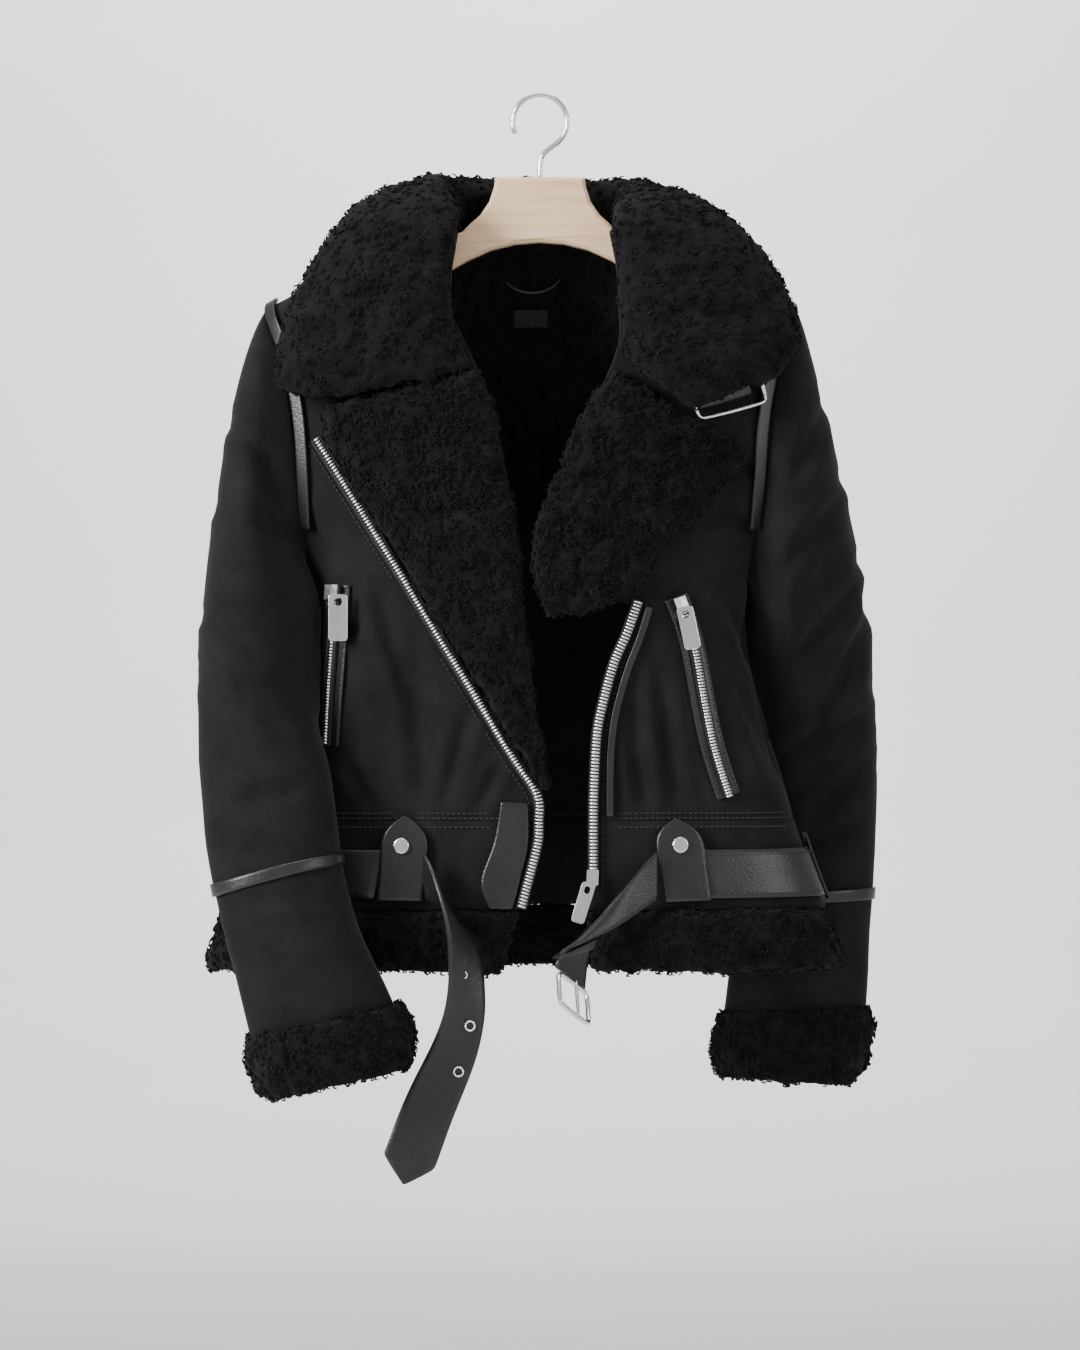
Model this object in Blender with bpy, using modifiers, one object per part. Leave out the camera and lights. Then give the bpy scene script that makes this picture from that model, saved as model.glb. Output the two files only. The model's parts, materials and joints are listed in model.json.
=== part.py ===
"""Shearling biker jacket on a wooden hanger.

Sizes are in millimetres until a mesh is made. The hanger's hook rests on its rod at the origin, +Z is up,
the jacket's front faces -Y and the wearer's left is at +X. A drop is a distance below the rod.
"""
import math

import bmesh
import bpy
from mathutils import Matrix, Vector

MM = 0.001
SEAM = 0.35
SEAT = 0.6
RIGHT = -1
LEFT = 1

# Thickness of the cloth and of what lies on it
BODY_WALL = 6.0
SLEEVE_WALL = 5.0
FUR = 11.0
LEATHER = 2.4
ZIP = 2.6
WELT = 1.6

# Heights along the body
NECK_DROP = 108.0
WAIST_DROP = 580.0
BAND_DROP = 650.0
HEM_DROP = 699.0
HEM_REACH = 8.0

# The armhole is an ellipse seen from the side
ARM_MID = 277.0
ARM_HALF = 108.0
ARM_DEPTH = 34.0
ARM_STEPS = 8

# The belt
BELT_TOP = 602.5
BELT_WIDTH = 39.0
BELT_WALL = 3.0
BELT_LIFT = 1.6
BELT_FACE = BELT_LIFT + BELT_WALL
LOOP_LIFT = BELT_FACE + 0.6
LOOP_FACE = LOOP_LIFT + 2.0

# A ring of the body is a superellipse of this power
ROUNDNESS = 2.4


def table(columns, *rows):
    """Named columns, each a list of (first column, value) pairs."""
    names = columns.split()
    return {name: [(row[0], row[k]) for row in rows] for k, name in enumerate(names)}


TORSO = table(
    "drop centre half front back",
    (60, -4, 74, 36, 42),
    (108, -4, 85, 38, 46),
    (138, -5, 149, 47, 54),
    (169, -7, 210, 52, 58),
    (187, -7, 214, 56, 62),
    (243, -7, 211, 62, 68),
    (302, -7, 203, 66, 70),
    (345, -8, 190, 68, 71),
    (385, -9, 176, 69, 71),
    (436, -9, 174, 68, 69),
    (487, -9, 184, 66, 67),
    (537, -9, 201, 64, 64),
    (580, -9, 213, 62, 62),
    (635, -11, 234, 62, 62),
    (665, -12, 248, 63, 63),
    (701, -13, 256, 64, 64),
)

# Front edges: x of the right front's edge and of the left front's edge
FRONT_EDGES = {
    RIGHT: [
        (108, -67), (144, -71), (184, -71), (207, -55), (217, -47), (262, -34), (310, -26), (342, -18),
        (405, -14), (468, -6), (539, 2), (587, 2), (603, -1), (631, -8), (650, -15), (699, -31),
    ],
    LEFT: [
        (108, 57), (144, 62), (184, 63), (207, 65), (221, 61), (247, 40), (277, 27), (315, 13), (338, 4),
        (372, 2), (396, 6), (405, 76), (431, 65), (454, 56), (483, 48), (507, 43), (537, 41), (580, 40),
        (616, 40), (650, 38), (699, 40),
    ],
}

# Folds of the body: face, x, first and last drop, half width, height (below 0 is a trough)
BODY_FOLDS = [
    ("front", -140, 370, 606, 25, 7),
    ("front", -104, 390, 606, 22, -7),
    ("front", -64, 455, 606, 20, 5),
    ("front", 92, 450, 606, 26, -4),
    ("front", 172, 440, 606, 26, 4),
    ("front", 150, 190, 400, 28, -3),
    ("back", -120, 280, 606, 30, 6),
    ("back", -50, 350, 606, 30, -5),
    ("back", 24, 320, 606, 32, 5),
    ("back", 98, 300, 606, 30, -6),
    ("back", 158, 370, 606, 26, 4),
]

# Sleeves, from the armhole down: the outer and the inner edge as seen from the front, the middle's y
# and the half depth
SLEEVES = {
    RIGHT: [
        (-229, 184, -196, 397, -3, 44),
        (-241, 222, -197, 414, -7, 50),
        (-251, 270, -197, 434, -14, 54),
        (-262, 342, -189, 455, -26, 54),
        (-268, 393, -181, 482, -42, 52),
        (-272, 448, -173, 512, -58, 50),
        (-272, 499, -164, 541, -72, 46),
        (-268, 563, -157, 590, -86, 42),
        (-261, 617, -151, 628, -95, 39),
        (-250, 662, -140, 664, -100, 36),
        (-239, 708, -124, 697, -100, 34),
        (-230, 746, -114, 718, -98, 32),
    ],
    LEFT: [
        (215, 191, 172, 397, 3, 44),
        (228, 243, 175, 414, 8, 50),
        (241, 290, 177, 434, 16, 54),
        (250, 330, 178, 456, 26, 54),
        (261, 377, 179, 482, 40, 52),
        (269, 432, 179, 510, 54, 50),
        (274, 484, 177, 541, 68, 46),
        (277, 547, 172, 580, 82, 42),
        (276, 610, 166, 626, 92, 39),
        (273, 658, 159, 665, 97, 36),
        (271, 701, 154, 702, 98, 34),
        (269, 733, 149, 737, 96, 32),
    ],
}

CUFFS = {
    RIGHT: [
        (-231, 748, -108, 720, -98, 38),
        (-234, 762, -97, 737, -97, 43),
        (-229, 786, -93, 757, -96, 43),
        (-213, 800, -99, 770, -95, 39),
    ],
    LEFT: [
        (271, 735, 146, 739, 96, 38),
        (276, 749, 138, 753, 95, 43),
        (273, 785, 137, 780, 94, 43),
        (258, 799, 146, 793, 93, 39),
    ],
}

# How far the sleeves stay off the body, by drop
SLEEVE_CLEARANCE = [(385, 1.0), (420, 3.0), (470, 9.0), (592, 9.0), (640, 10.0), (655, 12.0), (705, 12.0)]

# Folds of the sleeves: side, turn round the sleeve in degrees (0 is the outer edge, 90 the front), row,
# half width in degrees, half length in rows, height
SLEEVE_FOLDS = [
    (RIGHT, 100, 1.6, 26, 1.4, -5),
    (RIGHT, 62, 5.2, 20, 1.0, 5),
    (RIGHT, 118, 6.4, 22, 0.9, -5),
    (RIGHT, 75, 8.1, 24, 1.0, -4),
    (RIGHT, 270, 5.5, 26, 1.6, 5),
    (RIGHT, 235, 7.4, 24, 1.0, -4),
    (LEFT, 112, 3.6, 18, 1.5, 5),
    (LEFT, 78, 4.4, 16, 2.2, -6),
    (LEFT, 48, 6.2, 16, 1.6, 5),
    (LEFT, 84, 7.6, 20, 0.9, -5),
    (LEFT, 270, 5.5, 26, 1.6, 5),
    (LEFT, 305, 7.4, 24, 1.0, -4),
]

# The collar's underside, from the right front's gorge round the neck to the left front's gorge: the base
# at the neck seam, the roll, the leaf's edge, each as x, y and drop, and how far the leaf is puffed up
COLLAR = [
    ((-55, -60, 217), (-82, -66, 228), (-168, -58, 243), 3),
    ((-64, -58, 204), (-92, -66, 216), (-196, -52, 239), 5),
    ((-70, -54, 188), (-98, -64, 198), (-209, -48, 228), 6),
    ((-72, -50, 168), (-98, -60, 176), (-208, -44, 205), 8),
    ((-74, -44, 146), (-92, -54, 146), (-199, -36, 180), 12),
    ((-72, -33, 107), (-86, -40, 102), (-184, -16, 150), 16),
    ((-81, -12, 107), (-83, -12, 82), (-162, 6, 126), 18),
    ((-80, 12, 107), (-80, 12, 72), (-134, 62, 140), 20),
    ((-62, 36, 107), (-62, 38, 70), (-92, 88, 160), 16),
    ((0, 49, 107), (0, 52, 71), (0, 96, 172), 14),
    ((54, 36, 107), (54, 38, 73), (86, 88, 162), 16),
    ((72, 12, 107), (72, 12, 76), (134, 62, 142), 20),
    ((73, -12, 107), (75, -12, 86), (170, 6, 134), 18),
    ((65, -33, 107), (78, -40, 103), (194, -18, 163), 16),
    ((66, -44, 146), (84, -54, 148), (203, -38, 192), 12),
    ((65, -50, 168), (90, -62, 176), (200, -48, 212), 8),
    ((66, -54, 186), (90, -68, 198), (183, -60, 228), 6),
    ((67, -58, 200), (88, -70, 214), (148, -68, 240), 5),
    ((68, -60, 210), (82, -72, 224), (118, -72, 253), 3),
]
COLLAR_LIFT = 3.5

# Lapels as rungs: x and drop of the left end, x and drop of the right end
LAPELS = {
    RIGHT: [
        (-170, 252, -50, 224), (-170, 266, -38, 252), (-165, 284, -31, 284), (-148, 310, -27, 310),
        (-128, 342, -19, 342), (-89, 405, -15, 405), (-50, 468, -6, 468), (-18, 520, 1, 520),
        (1, 552, 6, 553),
    ],
    LEFT: [
        (59, 222, 113, 259), (42, 241, 132, 267), (30, 266, 150, 278), (22, 284, 160, 290),
        (14, 304, 157, 302), (4, 326, 138, 320), (-3, 346, 116, 346), (-5, 368, 94, 367),
        (-3, 388, 82, 386), (0, 405, 74, 397), (6, 419, 38, 414),
    ],
}
LAPEL_LIFT = 1.6
TRIM_LIFT = 1.7

# The leather that faces the right front's edge below its lapel, as rungs
FACING = [
    (-31, 564, -10, 565), (-36, 597, -9, 597), (-46, 622, -15, 622), (-46, 636, -18, 636), (-40, 649, -22, 649),
]

# Lines on the fronts, as x and drop
ZIP_LINES = {
    RIGHT: [(-177, 276), (-97, 405), (-27, 520), (-3, 557), (-1, 580), (-2, 598), (-9, 626), (-15, 649)],
    LEFT: [(77, 405), (68, 431), (58, 454), (50, 483), (45, 507), (43, 537), (42, 567), (42, 616), (41, 632)],
}
PIPING_LINE = [(86, 410), (79, 434), (70, 456), (62, 483), (57, 507), (55, 537), (55, 576)]
POCKET_LINES = {
    RIGHT: [(-159, 392), (-161, 430), (-165, 480), (-168, 520)],
    LEFT: [(107, 402), (116, 425), (122, 450), (129, 487), (137, 523), (149, 560)],
}
COLLAR_STRAP_LINE = [(122, 243), (146, 236), (164, 230)]

# Belt loops as rungs, right then left, with a pointed top
LOOP_TABS = {
    RIGHT: [(-108, 576, -106, 576), (-124, 589, -89, 589), (-126, 615, -90, 615), (-129, 643, -93, 643)],
    LEFT: [(106, 578, 108, 578), (91, 592, 127, 590), (95, 617, 131, 617), (99, 644, 135, 643)],
}
STUD_PLACES = {RIGHT: (-109, 600), LEFT: (110, 599)}

# The loose ends of the belt: left edge and right edge, each as x, y and drop
BELT_TAIL = [
    ((-90, -73, 604), (-90, -67, 641)),
    ((-84, -86, 616), (-78, -70, 647)),
    ((-78, -97, 634), (-66, -75, 656)),
    ((-73, -101, 656), (-54, -78, 670)),
    ((-71, -100, 680), (-45, -79, 689)),
    ((-71, -96, 704), (-43, -81, 710)),
    ((-75, -92, 730), (-43, -83, 733)),
    ((-85, -89, 755), (-49, -85, 763)),
    ((-98, -87, 780), (-59, -85, 790)),
    ((-110, -87, 806), (-70, -85, 817)),
    ((-121, -87, 836), (-81, -85, 848)),
    ((-122, -87, 843), (-86, -85, 855)),
    ((-108, -86, 865), (-106, -86, 865)),
]
BELT_END = [
    ((92, -69, 641), (92, -69, 603)),
    ((76, -76, 652), (80, -73, 615)),
    ((55, -88, 665), (70, -78, 629)),
    ((33, -98, 675), (56, -81, 649)),
    ((18, -105, 682), (45, -82, 668)),
    ((14, -108, 689), (38, -81, 692)),
    ((14, -108, 693), (36, -80, 712)),
]

# The belt's buckle: a frame that hangs from its top bar, which lies along the belt's end
BUCKLE_BAR = ((14.0, -108.0, -696.0), (37.0, -80.0, -715.0))
BUCKLE_FALL = (0.06, -0.58, -0.81)
BUCKLE_HEIGHT = 30.0
BUCKLE_WIRE = 1.8
PRONG_WIRE = 1.3

# Sliders and pull tabs: x and drop of the tab's hinge, its lean, its width and its length
TABS = {
    "pocket_tab_right": (-160, 400, 0.0, 15.0, 37.0),
    "pocket_tab_left": (114, 410, -12.0, 13.0, 34.0),
    "tab_front": (39, 628, 17.0, 11.0, 33.0),
}
TAB_THICKNESS = 1.6
TAB_EYE = (3.0, 9.0)
SLIDERS = {
    "pocket_slider_right": [(-159.5, 392), (-160, 404)],
    "pocket_slider_left": [(107, 402), (111, 413)],
    "slider_front": [(41.5, 618), (41, 630)],
}
SLIDER_HEIGHT = 4.0

# The collar's strap buckle: middle, lean, width, height
STRAP_BUCKLE = ((147.0, 240.0), 16.0, 56.0, 30.0)

# The hanger
BOARD_THICKNESS = 18.0
BOARD_REACH = 184
BOARD_NECK = [(33.5, 67.5), (34.5, 74), (38.5, 86), (46, 97), (54, 104), (61, 111)]
BOARD_ROUNDING = 2.5
BOARD_ARM_HEIGHT = 24.0
HOOK_RADIUS = 22.0
HOOK_WIRE = 2.0


def smooth_at(pairs, at):
    """The value at a place on the smooth curve through (place, value) pairs."""
    last = len(pairs) - 1
    at = min(max(at, pairs[0][0]), pairs[last][0])
    k = next(k for k in range(last) if at <= pairs[k + 1][0])

    def slope(here):
        before, after = pairs[max(here - 1, 0)], pairs[min(here + 1, last)]
        return (after[1] - before[1]) / (after[0] - before[0])

    (start, first), (end, second) = pairs[k], pairs[k + 1]
    span = end - start
    s = (at - start) / span
    return (
        first * (1 + 2 * s) * (1 - s) ** 2
        + second * s * s * (3 - 2 * s)
        + span * s * (1 - s) * (slope(k) * (1 - s) - slope(k + 1) * s)
    )


def line_at(pairs, at):
    """The value at a place on the straight lines through (place, value) pairs."""
    at = min(max(at, pairs[0][0]), pairs[-1][0])
    k = next(k for k in range(len(pairs) - 1) if at <= pairs[k + 1][0])
    (start, first), (end, second) = pairs[k], pairs[k + 1]
    return first + (second - first) * (at - start) / (end - start)


def through(points, per_span):
    """Points on the smooth curve through the points given, with per_span steps between two of them."""
    vectors = [Vector(p) for p in points]
    result = []
    for k in range(len(vectors) - 1):
        before = vectors[max(k - 1, 0)]
        start = vectors[k]
        end = vectors[k + 1]
        after = vectors[min(k + 2, len(vectors) - 1)]
        for step in range(per_span):
            s = step / per_span
            result.append(
                0.5 * (2 * start + (end - before) * s + (2 * before - 5 * start + 4 * end - after) * s ** 2
                       + (3 * start - before - 3 * end + after) * s ** 3)
            )
    return result + [vectors[-1]]


def torso(drop):
    """Centre, half width, front depth and back depth of the body's ring."""
    return [smooth_at(TORSO[name], drop) for name in ("centre", "half", "front", "back")]


def fold_at(x, drop, face):
    """How far the folds push the body's skin out."""
    total = 0.0
    for side, place, first, last, width, height in BODY_FOLDS:
        if side == face and first < drop < last:
            along = math.sin(math.pi * (drop - first) / (last - first))
            total += height * along * math.exp(-((x - place) / width) ** 2)
    return total


def ring_point(angle, drop):
    """A point of the body's skin: angle 0 is the left side, 90 the front, 180 the right side."""
    centre, half, front, back = torso(drop)
    across = math.cos(math.radians(angle))
    depth = math.sin(math.radians(angle))
    x = centre + half * math.copysign(abs(across) ** (2 / ROUNDNESS), across)
    face = "front" if depth > 0 else "back"
    reach = (front if depth > 0 else back) * abs(depth) ** (2 / ROUNDNESS)
    reach += fold_at(x, drop, face) * min(1.0, abs(depth) * 2)
    return Vector((x, -reach if depth > 0 else reach, -drop))


def skin(angle, drop, lift=0.0):
    """A point that is lifted off the body's skin."""
    along = ring_point(angle + 1.0, drop) - ring_point(angle - 1.0, drop)
    down = ring_point(angle, drop + 1.0) - ring_point(angle, drop - 1.0)
    normal = along.cross(down)
    if angle % 180 == 0:
        normal.y = 0.0
    return ring_point(angle, drop) + normal.normalized() * lift


def angle_at(x, drop, face="front"):
    """The angle of the ring's point that has this x."""
    centre, half = torso(drop)[:2]
    across = min(max((x - centre) / half, -1.0), 1.0)
    angle = math.degrees(math.acos(math.copysign(abs(across) ** (ROUNDNESS / 2), across)))
    return angle if face == "front" else 360 - angle


def on_front(x, drop, lift=0.0):
    return skin(angle_at(x, drop), drop, lift)


def gap_value(point):
    """How far a point lies outside the body's ring, as a part of the ring's size."""
    centre, half, front, back = torso(-point.z)
    face = "front" if point.y < 0 else "back"
    across = abs(point.x - centre) / half
    fold = fold_at(point.x, -point.z, face) * max(0.0, 1 - across ** 2)
    depth = max(abs(point.y) - fold, 0.0) / (front if face == "front" else back)
    return (across ** ROUNDNESS + depth ** ROUNDNESS) ** (1 / ROUNDNESS) - 1


def off_skin(point):
    """A point's distance from the body's skin, below 0 inside it, and the way out."""
    slope = Vector([
        (gap_value(point + step) - gap_value(point - step)) / 0.4
        for step in (Vector((0.2, 0, 0)), Vector((0, 0.2, 0)), Vector((0, 0, 0.2)))
    ])
    return gap_value(point) / max(slope.length, 1e-6), slope.normalized()


def clear_of_body(point, clearance, exact=False):
    """The point moved out until it is this far from the body's skin, or moved to just there."""
    point = Vector(point)
    for _ in range(8):
        distance, way = off_skin(point)
        if distance >= clearance - 0.01 and not exact:
            break
        point += way * min(max(clearance - distance, -12.0), 12.0)
    return point


def arm_opening(drop, face):
    """Half the armhole's opening at a drop, in degrees round the body's ring."""
    share = 1 - ((drop - ARM_MID) / ARM_HALF) ** 2
    if share <= 0:
        return 0.0
    depth = torso(drop)[2 if face == "front" else 3]
    return math.degrees(math.asin((ARM_DEPTH * math.sqrt(share) / depth) ** (ROUNDNESS / 2)))


def side_angle(side, drop, face):
    """The angle of a panel's side: the armhole's edge, or the shoulder or side seam."""
    opening = arm_opening(drop, face)
    if side == RIGHT:
        return 180 - opening if face == "front" else 180 + opening
    return opening if face == "front" else 360 - opening


def arm_point(side, turn):
    """A point round the armhole: turn 0 is the shoulder, 90 the front, 180 the underarm."""
    drop = ARM_MID - ARM_HALF * math.cos(math.radians(turn))
    face = "front" if 0 <= turn % 360 <= 180 else "back"
    return ring_point(side_angle(side, drop, face), drop)


def beside_armhole(side, turn, distance, lift):
    """A point on the body at a distance from the armhole's edge."""
    edge = arm_point(side, turn)
    along = arm_point(side, turn + 4) - arm_point(side, turn - 4)
    inward = along.cross(off_skin(edge)[1]).normalized() * side
    return clear_of_body(edge + inward * distance, lift, True)


def material(name, colour, roughness, metallic=0.0):
    made = bpy.data.materials.new(name)
    made.use_nodes = True
    shader = made.node_tree.nodes["Principled BSDF"]
    shader.inputs["Base Color"].default_value = (*colour, 1)
    shader.inputs["Roughness"].default_value = roughness
    shader.inputs["Metallic"].default_value = metallic
    return made


LOOKS = {
    "suede": ((0.035, 0.034, 0.033), 0.85, 0.0),
    "shearling": ((0.018, 0.017, 0.017), 0.95, 0.0),
    "leather": ((0.03, 0.03, 0.031), 0.45, 0.0),
    "zip": ((0.7, 0.7, 0.7), 0.25, 1.0),
    "steel": ((0.78, 0.78, 0.78), 0.2, 1.0),
    "wood": ((0.72, 0.5, 0.32), 0.45, 0.0),
    "label": ((0.02, 0.02, 0.02), 0.8, 0.0),
}


def dress(obj, look):
    """Puts the object in the jacket's collection, with a material of its own."""
    obj.data.materials.clear()
    obj.data.materials.append(material(obj.name, *LOOKS[look]))
    for holder in list(obj.users_collection):
        holder.objects.unlink(obj)
    bpy.data.collections["shearling_jacket"].objects.link(obj)
    return obj


def shell(name, look, outer, inner, around=False):
    """A wall between two grids of points; around closes each row into a ring."""
    rows, columns = len(outer), len(outer[0])
    points = [p * MM for grid in (outer, inner) for row in grid for p in row]
    shift = rows * columns
    steps = columns if around else columns - 1
    faces = []
    for i in range(rows - 1):
        for j in range(steps):
            a, b = i * columns + j, i * columns + (j + 1) % columns
            c, d = b + columns, a + columns
            faces.append((a, b, c, d))
            faces.append((d + shift, c + shift, b + shift, a + shift))
    for j in range(steps):
        k = (j + 1) % columns
        faces.append((k, j, j + shift, k + shift))
        low = (rows - 1) * columns
        faces.append((low + j, low + k, low + k + shift, low + j + shift))
    if not around:
        for i in range(rows - 1):
            a, b = i * columns, (i + 1) * columns
            faces.append((a, b, b + shift, a + shift))
            a, b = a + columns - 1, b + columns - 1
            faces.append((b, a, a + shift, b + shift))
    mesh = bpy.data.meshes.new(name)
    mesh.from_pydata(points, [], faces)
    work = bmesh.new()
    work.from_mesh(mesh)
    bmesh.ops.recalc_face_normals(work, faces=work.faces)
    work.to_mesh(mesh)
    work.free()
    obj = bpy.data.objects.new(name, mesh)
    bpy.context.scene.collection.objects.link(obj)
    mesh.shade_smooth()
    mesh.set_sharp_from_angle(angle=math.radians(50))
    return dress(obj, look)


def thicken(grid, walls, sign, around=False):
    """The grid moved along its normals; walls gives the distance at each row and column."""
    rows, columns = len(grid), len(grid[0])
    result = []
    for i in range(rows):
        row = []
        for j in range(columns):
            before = grid[i][(j - 1) % columns] if around else grid[i][max(j - 1, 0)]
            after = grid[i][(j + 1) % columns] if around else grid[i][min(j + 1, columns - 1)]
            down = grid[min(i + 1, rows - 1)][j] - grid[max(i - 1, 0)][j]
            normal = (after - before).cross(down).normalized()
            row.append(grid[i][j] + normal * sign * walls(i, j))
        result.append(row)
    return result


def shares(steps, soft=False):
    """Even shares from 0 to 1, with one more near each end for a soft edge."""
    even = [k / steps for k in range(steps + 1)]
    if soft:
        return [0.0, 0.3 / steps] + even[1:-1] + [1 - 0.3 / steps, 1.0]
    return even


def body_patch(name, look, cells, lift, face_lift, soft=False):
    """A piece that lies on the body; cells are rows of (angle, drop). A soft piece is thinner at its edges."""
    rows, columns = len(cells), len(cells[0])

    def thickness(i, j):
        if not soft:
            return face_lift
        rim = i in (0, rows - 1) or j in (0, columns - 1)
        near = i in (1, rows - 2) or j in (1, columns - 2)
        share = 0.4 if rim else 0.86 if near else 1.0
        return lift + (face_lift - lift) * share

    outer = [[skin(a, d, thickness(i, j)) for j, (a, d) in enumerate(row)] for i, row in enumerate(cells)]
    inner = [[skin(a, d, lift) for a, d in row] for row in cells]
    return shell(name, look, outer, inner)


def ladder(rungs, per_span, steps, soft=False):
    """Cells between the rails of a ladder of rungs (x, drop, x, drop) on the front."""
    left = through([(r[0], r[1], 0) for r in rungs], per_span)
    right = through([(r[2], r[3], 0) for r in rungs], per_span)
    if soft:
        for rail in (left, right):
            rail.insert(1, rail[0].lerp(rail[1], 0.3))
            rail.insert(-1, rail[-1].lerp(rail[-2], 0.3))
    cells = []
    for a, b in zip(left, right):
        places = [a.lerp(b, s) for s in shares(steps, soft)]
        cells.append([(angle_at(p.x, p.y), p.y) for p in places])
    return cells


def ribbon(line, per_span, half_width, steps=2):
    """Cells of an even ribbon along a line of (x, drop) points on the front."""
    middle = through([(x, drop, 0) for x, drop in line], per_span)
    cells = []
    for k, place in enumerate(middle):
        along = (middle[min(k + 1, len(middle) - 1)] - middle[max(k - 1, 0)]).normalized()
        across = Vector((along.y, -along.x, 0)) * half_width
        places = [place + across * (2 * s - 1) for s in shares(steps)]
        cells.append([(angle_at(p.x, p.y), p.y) for p in places])
    return cells


# Body

ARM_DROPS = [ARM_MID - ARM_HALF * math.cos(math.pi * k / ARM_STEPS) for k in range(ARM_STEPS + 1)]
BODY_DROPS = [NECK_DROP, 122, 138, 154] + ARM_DROPS + [396, 405, 431, 456, 483, 510, 534, 557, WAIST_DROP]
FRONT_STEPS = 11
BACK_STEPS = 20


def even_row(start, end, drop, steps):
    """Cells at equal distances along the body's ring between two angles."""
    fine = 8 * steps
    angles = [start + (end - start) * k / fine for k in range(fine + 1)]
    points = [ring_point(angle, drop) for angle in angles]
    run = [0.0]
    for before, after in zip(points, points[1:]):
        run.append(run[-1] + (after - before).length)
    lookup = list(zip(run, angles))
    return [(line_at(lookup, run[-1] * s), drop) for s in shares(steps)]


def front_cells(side, drops, steps):
    edge = FRONT_EDGES[side]
    return [even_row(side_angle(side, drop, "front"), angle_at(line_at(edge, drop), drop), drop, steps)
            for drop in drops]


def back_cells(drops, steps):
    return [even_row(side_angle(LEFT, drop, "back"), side_angle(RIGHT, drop, "back"), drop, steps)
            for drop in drops]


def body_panel(name, look, cells, shift, lift=0.0, wall=BODY_WALL, soft=False):
    """A panel with its wall inside the skin, moved by half a seam's gap."""
    panel = body_patch(name, look, cells, lift - wall, lift, soft)
    for vertex in panel.data.vertices:
        vertex.co.y += shift * SEAM / 2 * MM
    return panel


def body():
    names = {RIGHT: "right", LEFT: "left"}
    band_drops = [WAIST_DROP + 1.5 * SEAM, 604, 627, BAND_DROP]
    hem_top = BAND_DROP + 2 * SEAM
    hem_drops = [hem_top, hem_top + 6, 668, 684, HEM_DROP - 6, HEM_DROP]
    for side, name in names.items():
        body_panel("front_" + name, "suede", front_cells(side, BODY_DROPS, FRONT_STEPS), -1)
        body_panel("band_" + name, "suede", front_cells(side, band_drops, FRONT_STEPS), -1)
        body_panel("hem_" + name, "shearling", front_cells(side, hem_drops, 11), -1,
                   HEM_REACH, BODY_WALL + HEM_REACH, True)
    body_panel("back", "suede", back_cells(BODY_DROPS, BACK_STEPS), 1)
    body_panel("band_back", "suede", back_cells(band_drops, BACK_STEPS), 1)
    body_panel("hem_back", "shearling", back_cells(hem_drops, BACK_STEPS), 1,
               HEM_REACH, BODY_WALL + HEM_REACH, True)


# Sleeves

SLEEVE_AROUND = 2 * ARM_STEPS
SLEEVE_PER_ROW = 2
STRIP_ROWS = {RIGHT: 17.8, LEFT: 19.2}
STRIP_LEAN = {RIGHT: 0.9, LEFT: 0.1}


def oval(row, turns):
    """A ring from its outer and inner edge, the middle's y and the half depth."""
    outer = Vector((row[0], row[4], -row[1]))
    inner = Vector((row[2], row[4], -row[3]))
    middle = (outer + inner) / 2
    ring = []
    for turn in turns:
        across = math.cos(math.radians(turn))
        depth = math.sin(math.radians(turn))
        forward = math.copysign(abs(depth) ** 0.92, depth) * row[5]
        ring.append(middle + (outer - inner) / 2 * across + Vector((0, -forward, 0)))
    return ring


def tube_rows(rings, per_span):
    """Rings between the given rings, smooth along the tube."""
    columns = [through([ring[j] for ring in rings], per_span) for j in range(len(rings[0]))]
    return [[column[i] for column in columns] for i in range(len(columns[0]))]


def sleeve_fold(side, turn, row):
    total = 0.0
    for which, place, at, width, length, height in SLEEVE_FOLDS:
        if which == side:
            away = (turn - place + 180) % 360 - 180
            total += height * math.exp(-(away / width) ** 2 - ((row - at) / length) ** 2)
    return total


def sleeve_skin(side):
    """The rings of a sleeve's outside, from the armhole to the cuff."""
    turns = [360 * k / SLEEVE_AROUND for k in range(SLEEVE_AROUND)]
    first = []
    for turn in turns:
        top = max(0.0, math.cos(math.radians(turn))) ** 4
        first.append(arm_point(side, turn) + Vector((side * (0.5 + 1.8 * top), 0, 0)))
    rings = [first]
    rings += [oval(row, turns) for row in SLEEVES[side]]
    rows = tube_rows(rings, SLEEVE_PER_ROW)
    last = len(rows) - 1

    def height(i, j):
        row = i / SLEEVE_PER_ROW
        return sleeve_fold(side, turns[j], row) * min(1.0, row, (last - i) / 2)

    rows = thicken(rows, height, side, True)
    for i in range(1, len(rows)):
        for j, point in enumerate(rows[i]):
            room = line_at(SLEEVE_CLEARANCE, -point.z) * min(1.0, i / 3)
            rows[i][j] = clear_of_body(point, room)
    return rows


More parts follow.
